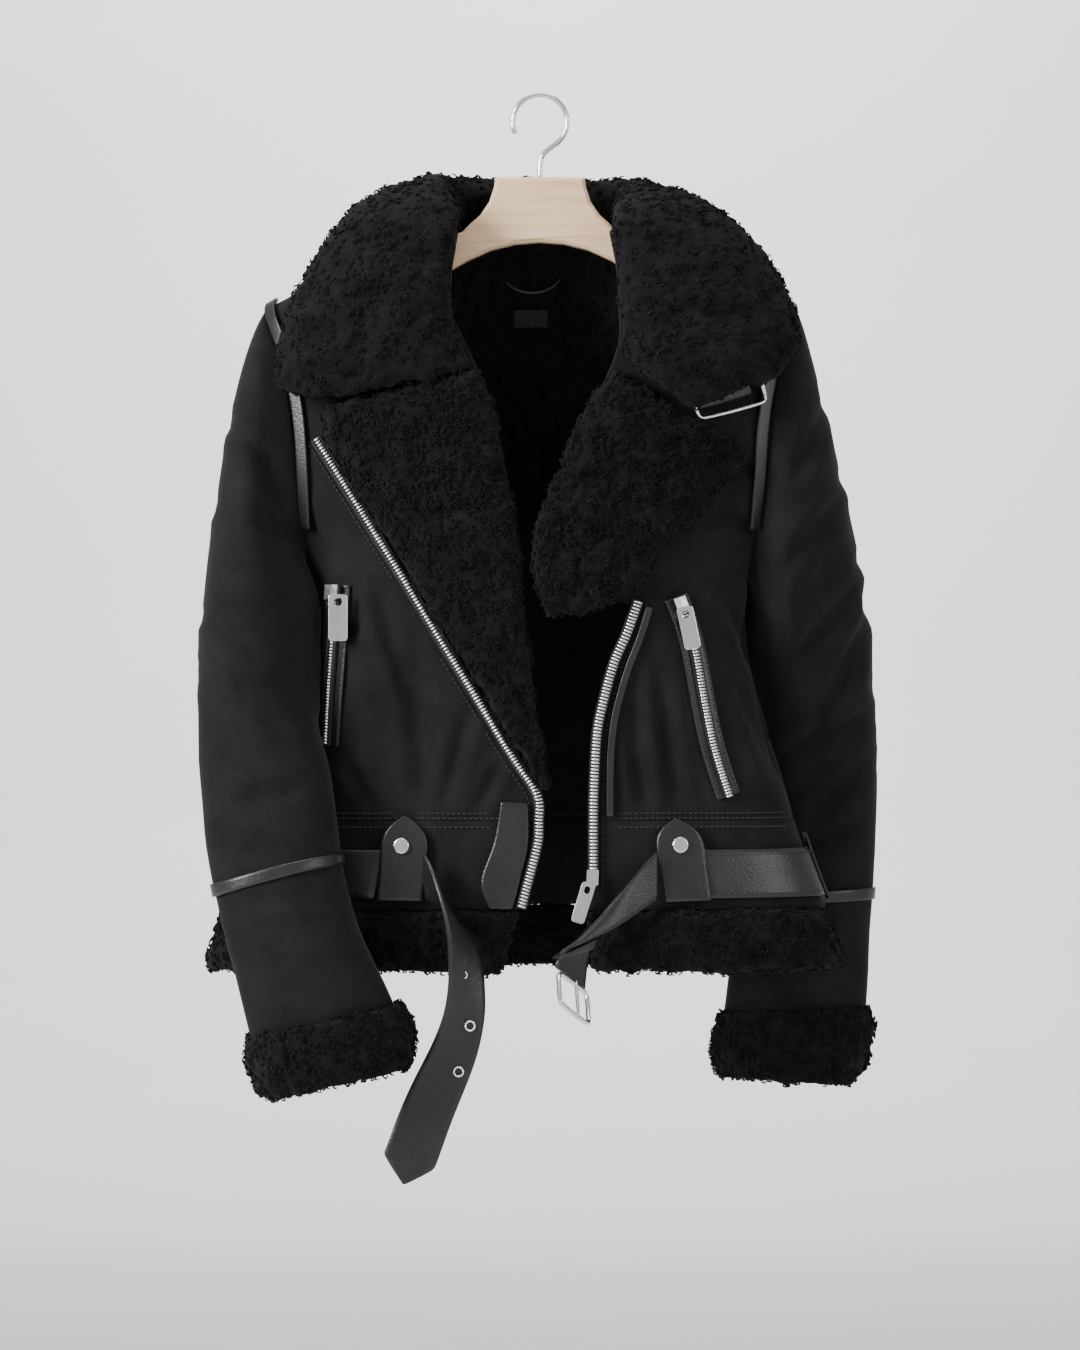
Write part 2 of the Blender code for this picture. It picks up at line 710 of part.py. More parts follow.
def sleeves():
    turns = [360 * k / SLEEVE_AROUND for k in range(SLEEVE_AROUND)]
    for side, name in ((RIGHT, "right"), (LEFT, "left")):
        rows = sleeve_skin(side)
        inside = thicken(rows, lambda i, j: -SLEEVE_WALL if i else -SLEEVE_WALL / 2, side, True)
        shell("sleeve_" + name, "suede", rows, inside, True)

        cuff = tube_rows([oval(row, turns) for row in CUFFS[side]], 1)
        cuff_wall = thicken(cuff, lambda i, j: -FUR, side, True)
        shell("cuff_" + name, "shearling", cuff, cuff_wall, True)

        band = []
        for edge in (-0.22, 0.22):
            ring = []
            for k, turn in enumerate(turns):
                at = STRIP_ROWS[side] + STRIP_LEAN[side] * math.cos(math.radians(turn)) + edge
                ring.append(rows[int(at)][k].lerp(rows[int(at) + 1][k], at % 1))
            band.append(ring)
        under = thicken(band, lambda i, j: 1.0, side, True)
        over = thicken(band, lambda i, j: 1.0 + LEATHER, side, True)
        shell("sleeve_strip_" + name, "leather", over, under, True)

        strip_turns = [-130 + 260 * k / 18 for k in range(19)]
        lower, upper = [[
            [beside_armhole(side, turn, distance, lift) for turn in strip_turns]
            for distance in (1.5, 6.5, 11.5)] for lift in (TRIM_LIFT, TRIM_LIFT + LEATHER)]
        shell("armhole_strip_" + name, "leather", upper, lower)


# Collar and lapels

COLLAR_STEPS = 9


def collar():
    """One sheet that rises from the neck seam, rolls over and lies on the shoulders and fronts."""
    paths = []
    for base, roll, edge, puff in COLLAR:
        base, roll, edge = [Vector((x, y, -drop)) for x, y, drop in (base, roll, edge)]
        middle = (roll + edge) / 2
        axis = Vector((middle.x * 0.55, 0, middle.z - 60))
        middle += (middle - axis).normalized() * puff
        spread = through([base, roll, middle, edge], COLLAR_STEPS // 3)
        paths.append(spread)
    under = tube_rows(paths, 2)
    for row in under:
        stand = -row[0].z < NECK_DROP + 3
        for j in range(2 if stand else 0, len(row)):
            row[j] = clear_of_body(row[j], COLLAR_LIFT)
    last_row, last_column = len(under) - 1, len(under[0]) - 1

    def pile(i, j):
        share = 1.0
        if j in (0, last_column) or i in (0, last_row):
            share = 0.45
        elif j in (1, last_column - 1) or i in (1, last_row - 1):
            share = 0.85
        return FUR * share

    upper = thicken(under, pile, -1)
    shell("collar", "shearling", upper, under)


def lapels():
    for side, name in ((RIGHT, "right"), (LEFT, "left")):
        cells = ladder(LAPELS[side], 2 if side == RIGHT else 1, 5, True)
        body_patch("lapel_" + name, "shearling", cells, LAPEL_LIFT, LAPEL_LIFT + FUR, True)


# Zips, pockets and other pieces on the fronts

def trims():
    body_patch("facing_right", "leather", ladder(FACING, 2, 3), TRIM_LIFT, TRIM_LIFT + LEATHER)
    body_patch("piping_left", "leather", ribbon(PIPING_LINE, 2, 2.6), TRIM_LIFT, TRIM_LIFT + ZIP)
    for side, name in ((RIGHT, "right"), (LEFT, "left")):
        body_patch("zip_" + name, "zip", ribbon(ZIP_LINES[side], 3, 4.2), TRIM_LIFT, TRIM_LIFT + ZIP)
        line = POCKET_LINES[side]
        welt_face = TRIM_LIFT + WELT
        body_patch("pocket_welt_" + name, "leather", ribbon(line, 3, 9.5, 3), TRIM_LIFT, welt_face)
        over_welt = welt_face + SEAT
        body_patch("pocket_zip_" + name, "zip", ribbon(line, 3, 3.6), over_welt, over_welt + ZIP)


# Belt

def rails(edges):
    """The left and the right edge of a loose belt end, as smooth lines."""
    return [through([(x, y, -drop) for x, y, drop in rail], 2) for rail in zip(*edges)]


def belt():
    angles = [angle_at(-126, BELT_TOP + BELT_WIDTH / 2) + k * 9.0 for k in range(40)]
    last = 360 + angle_at(126, BELT_TOP + BELT_WIDTH / 2)
    angles = [a for a in angles if a < last - 5] + [last]
    rows = [BELT_TOP, BELT_TOP + BELT_WIDTH / 2, BELT_TOP + BELT_WIDTH]
    cells = [[(angle % 360, drop) for angle in angles] for drop in rows]
    body_patch("belt", "leather", cells, BELT_LIFT, BELT_FACE)
    for name, edges in (("belt_tail", BELT_TAIL), ("belt_end", BELT_END)):
        left, right = rails(edges)
        middle = [a.lerp(b, 0.5) for a, b in zip(left, right)]
        face = [list(row) for row in zip(left, middle, right)]
        shell(name, "leather", face, thicken(face, lambda i, j: BELT_WALL, 1))
    for side, name in ((RIGHT, "right"), (LEFT, "left")):
        body_patch("belt_loop_" + name, "leather", ladder(LOOP_TABS[side], 2, 3), LOOP_LIFT, LOOP_FACE)
    for name, angle in (("belt_loop_back", 270), ("belt_loop_side_right", 186), ("belt_loop_side_left", 354)):
        cells = [[(angle + turn, drop) for turn in (-2.0, 0.0, 2.0)] for drop in (592, 602, 622, 642, 646)]
        body_patch(name, "leather", cells, LOOP_LIFT, LOOP_FACE)


# Metal pieces

def as_mesh(curve, name, look):
    """The curve's surface as one closed mesh, in the curve's place."""
    graph = bpy.context.evaluated_depsgraph_get()
    mesh = bpy.data.meshes.new_from_object(curve.evaluated_get(graph))
    work = bmesh.new()
    work.from_mesh(mesh)
    bmesh.ops.remove_doubles(work, verts=work.verts, dist=1e-6)
    work.to_mesh(mesh)
    work.free()
    obj = bpy.data.objects.new(name, mesh)
    obj.matrix_world = curve.matrix_world
    bpy.context.scene.collection.objects.link(obj)
    bpy.data.objects.remove(curve, do_unlink=True)
    mesh.shade_smooth()
    mesh.set_sharp_from_angle(angle=math.radians(40))
    return dress(obj, look)


def wire(name, look, points, radius, cyclic=False):
    """A round wire along points in millimetres."""
    data = bpy.data.curves.new("guide", "CURVE")
    data.dimensions = "3D"
    data.bevel_depth = radius * MM
    data.bevel_resolution = 1
    data.use_fill_caps = True
    spline = data.splines.new("POLY")
    spline.points.add(len(points) - 1)
    for slot, point in zip(spline.points, points):
        slot.co = (*(Vector(point) * MM), 1)
    spline.use_cyclic_u = cyclic
    curve = bpy.data.objects.new("guide", data)
    bpy.context.scene.collection.objects.link(curve)
    bpy.context.view_layer.update()
    return as_mesh(curve, name, look)


def plate(name, look, outlines, thickness, place, lean=0.0, rounding=0.0):
    """A flat plate in the XZ plane from outlines in millimetres; the second one is a hole."""
    data = bpy.data.curves.new("guide", "CURVE")
    data.dimensions = "2D"
    data.fill_mode = "BOTH"
    data.extrude = (thickness / 2 - rounding) * MM
    data.bevel_depth = rounding * MM
    data.bevel_resolution = 0
    for outline in outlines:
        spline = data.splines.new("POLY")
        spline.points.add(len(outline) - 1)
        for slot, (x, z) in zip(spline.points, outline):
            slot.co = (x * MM, z * MM, 0, 1)
        spline.use_cyclic_u = True
    curve = bpy.data.objects.new("guide", data)
    curve.location = Vector(place) * MM
    curve.rotation_euler = (math.pi / 2, math.radians(lean), 0)
    bpy.context.scene.collection.objects.link(curve)
    bpy.context.view_layer.update()
    return as_mesh(curve, name, look)


def rounded(width, top, bottom, radius, steps=3):
    """A rectangle with round corners, from top down to bottom, middle at x 0."""
    result = []
    for sx, z, start in ((1, top, 0), (-1, top, 90), (-1, bottom, 180), (1, bottom, 270)):
        centre_z = z - radius if z == top else z + radius
        for k in range(steps + 1):
            angle = math.radians(start + 90 * k / steps)
            result.append((sx * (width / 2 - radius) + radius * math.cos(angle),
                           centre_z + radius * math.sin(angle)))
    return result


def zip_lift(name):
    """How far a zip's face lies off the body."""
    base = TRIM_LIFT + ZIP
    return base + WELT + SEAT if "pocket" in name else base


def sliders_and_tabs():
    for name, line in SLIDERS.items():
        lift = zip_lift(name) + SEAT
        body_patch(name, "steel", ribbon(line, 2, 4.6), lift, lift + SLIDER_HEIGHT)
    for name, (x, drop, lean, width, length) in TABS.items():
        lift = zip_lift(name) + SEAT + SLIDER_HEIGHT
        nearest = min(on_front(x + dx, drop + dz, lift).y for dx in (-width / 2, 0, width / 2)
                      for dz in (0, length))
        place = (x, nearest - TAB_THICKNESS / 2 - SEAT, -drop)
        hole = rounded(width * 0.4, -TAB_EYE[0], -TAB_EYE[1], 1.8)
        plate(name, "steel", [rounded(width, 0.0, -length, 2.5), hole], TAB_THICKNESS, place, lean)
    for side, name in ((RIGHT, "right"), (LEFT, "left")):
        x, drop = STUD_PLACES[side]
        place = on_front(x, drop, LOOP_FACE + 2.2)
        outward = (on_front(x, drop, 1) - on_front(x, drop)).to_track_quat("Z", "Y")
        bpy.ops.mesh.primitive_cylinder_add(vertices=16, radius=6.5 * MM, depth=3.2 * MM, location=place * MM,
                                            rotation=outward.to_euler())
        stud = bpy.context.object
        stud.name = stud.data.name = "belt_stud_" + name
        dome = stud.modifiers.new("dome", "BEVEL")
        dome.width = 1.2 * MM
        dome.segments = 2
        dome.limit_method = "ANGLE"
        dress(stud, "steel")


def buckles():
    start, end = [Vector(p) for p in BUCKLE_BAR]
    fall = Vector(BUCKLE_FALL).normalized()
    bar = (end - start).normalized()
    fall = (fall - bar * fall.dot(bar)).normalized()
    front = bar.cross(fall)
    if front.y > 0:
        front = -front
    low_end, low_start = end + fall * BUCKLE_HEIGHT, start + fall * BUCKLE_HEIGHT
    corners = [start, end, low_end, low_start]
    path = []
    for k, corner in enumerate(corners):
        before, after = corners[k - 1], corners[(k + 1) % 4]
        path.append(corner.lerp(before, 3.0 / (corner - before).length))
        path.append(corner.lerp(after, 3.0 / (corner - after).length))
    wire("belt_buckle", "steel", path, BUCKLE_WIRE, True)
    rise = front * (BUCKLE_WIRE + PRONG_WIRE + SEAM)
    middle = (start + end) / 2 + rise
    wire("belt_prong", "steel", [middle - fall * 1.5, middle + fall * (BUCKLE_HEIGHT + 3.5)], PRONG_WIRE)

    left, right = rails(BELT_END)
    belt_half = BELT_WALL / 2
    loop_rows = {"outer": [], "inner": []}
    for at in (8.2, 9.0):
        a = left[int(at)].lerp(left[int(at) + 1], at % 1)
        b = right[int(at)].lerp(right[int(at) + 1], at % 1)
        down = left[int(at) + 1] - left[int(at)]
        normal = (b - a).cross(down).normalized()
        across = (b - a).normalized()
        centre = (a + b) / 2 + normal * belt_half
        half = (b - a).length / 2
        for key, room in (("inner", 1.2), ("outer", 3.0)):
            w, t = across * (half + room), normal * (belt_half + room)
            loop_rows[key].append([centre + w + t, centre + t, centre - w + t, centre - w - t,
                                   centre - t, centre + w - t])
    shell("belt_keeper", "leather", loop_rows["outer"], loop_rows["inner"], True)

    (x, drop), lean, width, height = STRAP_BUCKLE
    body_patch("collar_strap", "leather", ribbon(COLLAR_STRAP_LINE, 3, 11.0), TRIM_LIFT, TRIM_LIFT + LEATHER)
    path = []
    turn = Matrix.Rotation(math.radians(-lean), 3, "Y")
    for px, pz in rounded(width, height / 2, -height / 2, 5.0, 2):
        flat = turn @ Vector((px, 0, pz))
        path.append(on_front(x + flat.x, drop - flat.z, TRIM_LIFT + LEATHER + 2.6))
    wire("collar_buckle", "steel", path, 1.5, True)


def neck_pieces():
    label = [[(angle_at(x, drop, "back"), drop) for x in (6, -7, -21)] for drop in (167, 180)]
    body_patch("neck_label", "label", label, -BODY_WALL - 1.4, -BODY_WALL - 0.6)
    loop = [skin(angle_at(x, drop, "back"), drop, -BODY_WALL - 2.6) for x, drop in
            ((-28, 143), (-23, 150), (-7, 155), (11, 150), (17, 141))]
    wire("hanging_loop", "leather", loop, 1.6)


# Hanger

def under_shoulder(x):
    """The drop at which the board's top meets the inside of the shoulder."""
    drop = NECK_DROP
    while off_skin(Vector((x, BOARD_THICKNESS / 2, -drop)))[0] > -(BODY_WALL + BOARD_ROUNDING + 2.9):
        drop += 0.5
    return drop


def hanger():
    reaches = [80, 92, 108, 124, 140, 156, 170, BOARD_REACH]
    tops = {side: [(side * x - 3, under_shoulder(side * x - 3)) for x in reaches] for side in (RIGHT, LEFT)}
    rims = {}
    for side in (RIGHT, LEFT):
        neck = [(side * x, drop) for x, drop in BOARD_NECK]
        arm = tops[side]
        tip_x, tip_drop = arm[-1]
        tip = [(tip_x + side * 3, tip_drop + 6), (tip_x + side * 3, tip_drop + 16), (tip_x, tip_drop + 22)]
        below = [(x, drop + BOARD_ARM_HEIGHT) for x, drop in reversed(arm[:-1])]
        rims[side] = neck + arm + tip + below + [(side * 60, 130), (side * 40, 121), (side * 20, 116)]
    outline = rims[RIGHT] + [(0, 114.5)] + list(reversed(rims[LEFT]))
    plate("hanger_board", "wood", [[(x, -drop) for x, drop in outline]], BOARD_THICKNESS, (0, 0, 0), 0.0,
          BOARD_ROUNDING)
    centre = -HOOK_RADIUS + HOOK_WIRE
    arc = [(HOOK_RADIUS * math.cos(math.radians(a)), 0, centre + HOOK_RADIUS * math.sin(math.radians(a)))
           for a in range(-50, 206, 15)]
    stem = through([(0, 0, -64.5), (0, 0, -56), (2.5, 0, -46), arc[0]], 3)
    wire("hanger_hook", "steel", stem[:-1] + arc, HOOK_WIRE)


def clear_scene():
    for obj in list(bpy.data.objects):
        bpy.data.objects.remove(obj, do_unlink=True)
    made = bpy.data.collections.new("shearling_jacket")
    bpy.context.scene.collection.children.link(made)


clear_scene()
body()
sleeves()
collar()
lapels()
trims()
belt()
sliders_and_tabs()
buckles()
neck_pieces()
hanger()
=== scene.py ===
"""The looks of a shearling biker jacket that hangs on a wooden hanger.

The form functions work in millimetres, with a drop being a distance below the rod, as the solids' source does.
"""
import json
import math

import bmesh
import bpy
import numpy as np
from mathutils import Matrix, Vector, noise


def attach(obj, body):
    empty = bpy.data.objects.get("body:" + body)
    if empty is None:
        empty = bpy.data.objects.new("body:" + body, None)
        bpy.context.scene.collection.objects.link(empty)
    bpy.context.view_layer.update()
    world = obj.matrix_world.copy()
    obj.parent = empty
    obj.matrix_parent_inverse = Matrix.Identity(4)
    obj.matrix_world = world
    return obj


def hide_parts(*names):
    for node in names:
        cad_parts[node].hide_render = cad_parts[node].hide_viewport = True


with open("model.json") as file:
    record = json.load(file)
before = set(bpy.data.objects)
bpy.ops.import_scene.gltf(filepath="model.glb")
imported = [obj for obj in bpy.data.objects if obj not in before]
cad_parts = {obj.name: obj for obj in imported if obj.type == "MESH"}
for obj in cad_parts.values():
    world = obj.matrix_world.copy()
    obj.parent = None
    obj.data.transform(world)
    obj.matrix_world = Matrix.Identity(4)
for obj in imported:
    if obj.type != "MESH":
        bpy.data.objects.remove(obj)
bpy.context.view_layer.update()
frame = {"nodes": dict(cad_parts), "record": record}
NODES = frame["nodes"]
MM = 0.001
RIGHT = -1
LEFT = 1
ROUNDNESS = 2.4
TRIM_TOP = 4.3
POCKET_TOP = 6.5
BELT_FACE = 4.6
PIXEL = 0.79


# The body's form


def table(columns, *rows):
    names = columns.split()
    return {name: [(row[0], row[k]) for row in rows] for k, name in enumerate(names)}


TORSO = table(
    "drop centre half front back",
    (60, -4, 74, 36, 42),
    (108, -4, 85, 38, 46),
    (138, -5, 149, 47, 54),
    (169, -7, 210, 52, 58),
    (187, -7, 214, 56, 62),
    (243, -7, 211, 62, 68),
    (302, -7, 203, 66, 70),
    (345, -8, 190, 68, 71),
    (385, -9, 176, 69, 71),
    (436, -9, 174, 68, 69),
    (487, -9, 184, 66, 67),
    (537, -9, 201, 64, 64),
    (580, -9, 213, 62, 62),
    (635, -11, 234, 62, 62),
    (665, -12, 248, 63, 63),
    (701, -13, 256, 64, 64),
)

# Folds of the solids: face, x, first and last drop, half width, height
BODY_FOLDS = [
    ("front", -140, 370, 606, 25, 7),
    ("front", -104, 390, 606, 22, -7),
    ("front", -64, 455, 606, 20, 5),
    ("front", 92, 450, 606, 26, -4),
    ("front", 172, 440, 606, 26, 4),
    ("front", 150, 190, 400, 28, -3),
    ("back", -120, 280, 606, 30, 6),
    ("back", -50, 350, 606, 30, -5),
    ("back", 24, 320, 606, 32, 5),
    ("back", 98, 300, 606, 30, -6),
    ("back", 158, 370, 606, 26, 4),
]

ZIP_LINES = {
    RIGHT: [(-177, 276), (-97, 405), (-27, 520), (-3, 557), (-1, 580), (-2, 598), (-9, 626), (-15, 649)],
    LEFT: [(77, 405), (68, 431), (58, 454), (50, 483), (45, 507), (43, 537), (42, 567), (42, 616), (41, 632)],
}
POCKET_LINES = {
    RIGHT: [(-159, 392), (-161, 430), (-165, 480), (-168, 520)],
    LEFT: [(107, 402), (116, 425), (122, 450), (129, 487), (137, 523), (149, 560)],
}

# Centre lines of the sleeves: drop, x and y
SLEEVE_MIDDLES = {
    RIGHT: [(290, -213, -3), (350, -224, -14), (400, -225, -26), (440, -224, -42), (480, -222, -58),
            (520, -218, -72), (577, -212, -86), (622, -206, -95), (663, -195, -100), (702, -181, -100)],
    LEFT: [(294, 194, 3), (352, 209, 16), (393, 214, 26), (430, 220, 40), (471, 224, 54), (512, 226, 68),
           (563, 225, 82), (618, 221, 92), (661, 216, 97), (701, 212, 98)],
}


def smooth_at(pairs, at):
    """The value at a place on the smooth curve through (place, value) pairs."""
    last = len(pairs) - 1
    at = min(max(at, pairs[0][0]), pairs[last][0])
    k = next(k for k in range(last) if at <= pairs[k + 1][0])

    def slope(here):
        before, after = pairs[max(here - 1, 0)], pairs[min(here + 1, last)]
        return (after[1] - before[1]) / (after[0] - before[0])

    (start, first), (end, second) = pairs[k], pairs[k + 1]
    span = end - start
    s = (at - start) / span
    return (
        first * (1 + 2 * s) * (1 - s) ** 2
        + second * s * s * (3 - 2 * s)
        + span * s * (1 - s) * (slope(k) * (1 - s) - slope(k + 1) * s)
    )


def through(points, per_span):
    """Points on the smooth curve through the points given."""
    vectors = [Vector(p) for p in points]
    result = []
    for k in range(len(vectors) - 1):
        before = vectors[max(k - 1, 0)]
        start = vectors[k]
        end = vectors[k + 1]
        after = vectors[min(k + 2, len(vectors) - 1)]
        for step in range(per_span):
            s = step / per_span
            result.append(
                0.5 * (2 * start + (end - before) * s + (2 * before - 5 * start + 4 * end - after) * s ** 2
                       + (3 * start - before - 3 * end + after) * s ** 3)
            )
    return result + [vectors[-1]]


def torso(drop):
    return [smooth_at(TORSO[name], drop) for name in ("centre", "half", "front", "back")]


def fold_at(x, drop, face):
    total = 0.0
    for side, place, first, last, width, height in BODY_FOLDS:
        if side == face and first < drop < last:
            along = math.sin(math.pi * (drop - first) / (last - first))
            total += height * along * math.exp(-((x - place) / width) ** 2)
    return total


def ring_point(angle, drop):
    """A point of the body's skin: angle 0 is the left side, 90 the front, 180 the right side."""
    centre, half, front, back = torso(drop)
    across = math.cos(math.radians(angle))
    depth = math.sin(math.radians(angle))
    x = centre + half * math.copysign(abs(across) ** (2 / ROUNDNESS), across)
    reach = (front if depth > 0 else back) * abs(depth) ** (2 / ROUNDNESS)
    reach += fold_at(x, drop, "front" if depth > 0 else "back") * min(1.0, abs(depth) * 2)
    return Vector((x, -reach if depth > 0 else reach, -drop))


def skin(angle, drop, lift=0.0):
    along = ring_point(angle + 1.0, drop) - ring_point(angle - 1.0, drop)
    down = ring_point(angle, drop + 1.0) - ring_point(angle, drop - 1.0)
    return ring_point(angle, drop) + along.cross(down).normalized() * lift


def angle_at(x, drop):
    centre, half = torso(drop)[:2]
    across = min(max((x - centre) / half, -1.0), 1.0)
    return math.degrees(math.acos(math.copysign(abs(across) ** (ROUNDNESS / 2), across)))


def on_front(x, drop, lift=0.0):
    return skin(angle_at(x, drop), drop, lift)


# Materials


class Look:
    """A material's nodes, with short names for the ones in use."""

    def __init__(self, name, roughness, metallic=0.0):
        self.name = name
        self.material = bpy.data.materials.new(name)
        self.material.use_nodes = True
        self.tree = self.material.node_tree
        self.shader = self.tree.nodes["Principled BSDF"]
        self.shader.inputs["Roughness"].default_value = roughness
        self.shader.inputs["Metallic"].default_value = metallic
        self.place = self.tree.nodes.new("ShaderNodeTexCoord").outputs["Object"]

    def noise(self, scale, detail=4.0, roughness=0.6, stretch=None):
        node = self.tree.nodes.new("ShaderNodeTexNoise")
        node.inputs["Scale"].default_value = scale
        node.inputs["Detail"].default_value = detail
        node.inputs["Roughness"].default_value = roughness
        source = self.place
        if stretch:
            mapping = self.tree.nodes.new("ShaderNodeMapping")
            mapping.inputs["Scale"].default_value = stretch
            self.tree.links.new(source, mapping.inputs["Vector"])
            source = mapping.outputs["Vector"]
        self.tree.links.new(source, node.inputs["Vector"])
        return node.outputs["Fac"]

    def cells(self, scale):
        node = self.tree.nodes.new("ShaderNodeTexVoronoi")
        node.inputs["Scale"].default_value = scale
        self.tree.links.new(self.place, node.inputs["Vector"])
        return node.outputs["Distance"]

    def ramp(self, source, *stops):
        node = self.tree.nodes.new("ShaderNodeValToRGB")
        ramp = node.color_ramp
        while len(ramp.elements) < len(stops):
            ramp.elements.new(0.5)
        for element, (at, colour) in zip(ramp.elements, stops):
            element.position = at
            element.color = (*colour, 1)
        self.tree.links.new(source, node.inputs["Fac"])
        return node.outputs["Color"]

    def colour(self, source):
        self.tree.links.new(source, self.shader.inputs["Base Color"])

    def bump(self, source, distance, strength):
        node = self.tree.nodes.new("ShaderNodeBump")
        node.inputs["Distance"].default_value = distance
        node.inputs["Strength"].default_value = strength
        self.tree.links.new(source, node.inputs["Height"])
        previous = self.shader.inputs["Normal"]
        if previous.is_linked:
            self.tree.links.new(previous.links[0].from_socket, node.inputs["Normal"])
        self.tree.links.new(node.outputs["Normal"], previous)

    def dull(self, level):
        self.shader.inputs["Specular IOR Level"].default_value = level

    def sheen(self, weight, roughness, tint):
        self.shader.inputs["Sheen Weight"].default_value = weight
        self.shader.inputs["Sheen Roughness"].default_value = roughness
        self.shader.inputs["Sheen Tint"].default_value = (*tint, 1)


def grey(value, warm=0.0):
    return (value * (1 + warm), value, value * (1 - warm))


def make_looks():
    suede = Look("suede", 0.92)
    suede.colour(suede.ramp(suede.noise(28, 6, 0.65), (0.3, grey(0.0065, 0.03)), (0.7, grey(0.0135, 0.03))))
    suede.bump(suede.noise(70, 5, 0.6), 0.0012, 0.35)
    suede.bump(suede.noise(1100, 3, 0.7), 0.0004, 0.5)
    suede.dull(0.16)
    suede.sheen(0.1, 0.35, grey(0.6))

    fur = Look("shearling", 0.95)
    fur.colour(fur.ramp(fur.noise(60, 5, 0.6), (0.3, grey(0.0035, 0.03)), (0.72, grey(0.0105, 0.03))))
    fur.bump(fur.noise(180, 4, 0.7), 0.004, 0.8)
    fur.bump(fur.noise(700, 4, 0.7), 0.0012, 0.8)
    fur.dull(0.08)
    fur.sheen(0.09, 0.5, grey(0.5))

    leather = Look("leather", 0.33)
    leather.colour(leather.ramp(leather.noise(40, 5, 0.6), (0.3, grey(0.009)), (0.7, grey(0.017))))
    leather.bump(leather.cells(650), 0.0004, 0.35)
    leather.bump(leather.noise(120, 4, 0.6), 0.0006, 0.25)

    thread = Look("thread", 0.7)
    thread.colour(thread.ramp(thread.noise(900), (0.3, grey(0.02)), (0.7, grey(0.035))))

    tape = Look("zip_tape", 0.8)
    tape.colour(tape.ramp(tape.noise(400), (0.3, grey(0.006)), (0.7, grey(0.012))))
    tape.bump(tape.noise(900, 2), 0.0003, 0.5)

    teeth = Look("zip_teeth", 0.26, 1.0)
    teeth.colour(teeth.ramp(teeth.noise(90), (0.3, grey(0.8)), (0.7, grey(0.95))))

    steel = Look("steel", 0.22, 1.0)
    steel.colour(steel.ramp(steel.noise(60), (0.3, grey(0.8)), (0.7, grey(0.92))))
    steel.bump(steel.noise(300), 0.0001, 0.1)

    wood = Look("wood", 0.42)
    grain = wood.noise(26, 6, 0.6, (0.35, 1.0, 5.5))
    wood.colour(wood.ramp(grain, (0.28, (0.72, 0.46, 0.26)), (0.5, (0.84, 0.58, 0.36)), (0.75, (0.9, 0.66, 0.44))))
    wood.bump(grain, 0.0004, 0.2)

    label = Look("label", 0.75)
    label.colour(label.ramp(label.noise(300), (0.3, grey(0.014)), (0.7, grey(0.022))))
    label.bump(label.noise(1500, 1), 0.0002, 0.4)
    return {look.name: look.material for look in
            (suede, fur, leather, thread, tape, teeth, steel, wood, label)}


LOOKS = make_looks()


# Pieces


def add(name, mesh, look, body="jacket"):
    obj = bpy.data.objects.new(name, mesh)
    bpy.context.scene.collection.objects.link(obj)
    mesh.materials.clear()
    mesh.materials.append(LOOKS[look])
    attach(obj, body)
    return obj


def from_arrays(name, points, quads, smooth=True):
    """A mesh from arrays of points in millimetres and of quads."""
    mesh = bpy.data.meshes.new(name)
    mesh.vertices.add(len(points))
    mesh.vertices.foreach_set("co", (np.asarray(points, np.float32) * MM).ravel())
    mesh.loops.add(quads.size)
    mesh.loops.foreach_set("vertex_index", quads.ravel().astype(np.int32))
    mesh.polygons.add(len(quads))
    mesh.polygons.foreach_set("loop_start", np.arange(0, quads.size, 4, dtype=np.int32))
    mesh.update(calc_edges=True)
    mesh.validate()
    if smooth:
        mesh.shade_smooth()
    return mesh


def fine_mesh(node, levels, keep_edges):
    """A node's mesh in quads, subdivided; keep_edges holds its rims where they are."""
    mesh = NODES[node].data.copy()
    work = bmesh.new()
    work.from_mesh(mesh)
    bmesh.ops.remove_doubles(work, verts=work.verts, dist=1e-5)
    bmesh.ops.join_triangles(work, faces=work.faces, angle_face_threshold=0.8, angle_shape_threshold=1.4)
    crease = work.edges.layers.float.new("crease_edge")
    for edge in work.edges:
        edge.smooth = True
        if keep_edges and len(edge.link_faces) == 2 and edge.calc_face_angle() > 0.9:
            edge[crease] = 0.9
    work.to_mesh(mesh)
    work.free()
    if "custom_normal" in mesh.attributes:
        mesh.attributes.remove(mesh.attributes["custom_normal"])
    obj = bpy.data.objects.new(node + "_cage", mesh)
    bpy.context.scene.collection.objects.link(obj)
    modifier = obj.modifiers.new("fine", "SUBSURF")
    modifier.levels = modifier.render_levels = levels
    graph = bpy.context.evaluated_depsgraph_get()
    fine = bpy.data.meshes.new_from_object(obj.evaluated_get(graph))
    bpy.data.objects.remove(obj)
    fine.shade_smooth()
    return fine


def points_of(mesh):
    co = np.empty(len(mesh.vertices) * 3, np.float32)
    mesh.vertices.foreach_get("co", co)
    normals = np.empty(len(mesh.vertices) * 3, np.float32)
    mesh.vertices.foreach_get("normal", normals)
    return co.reshape(-1, 3) * 1000, normals.reshape(-1, 3)


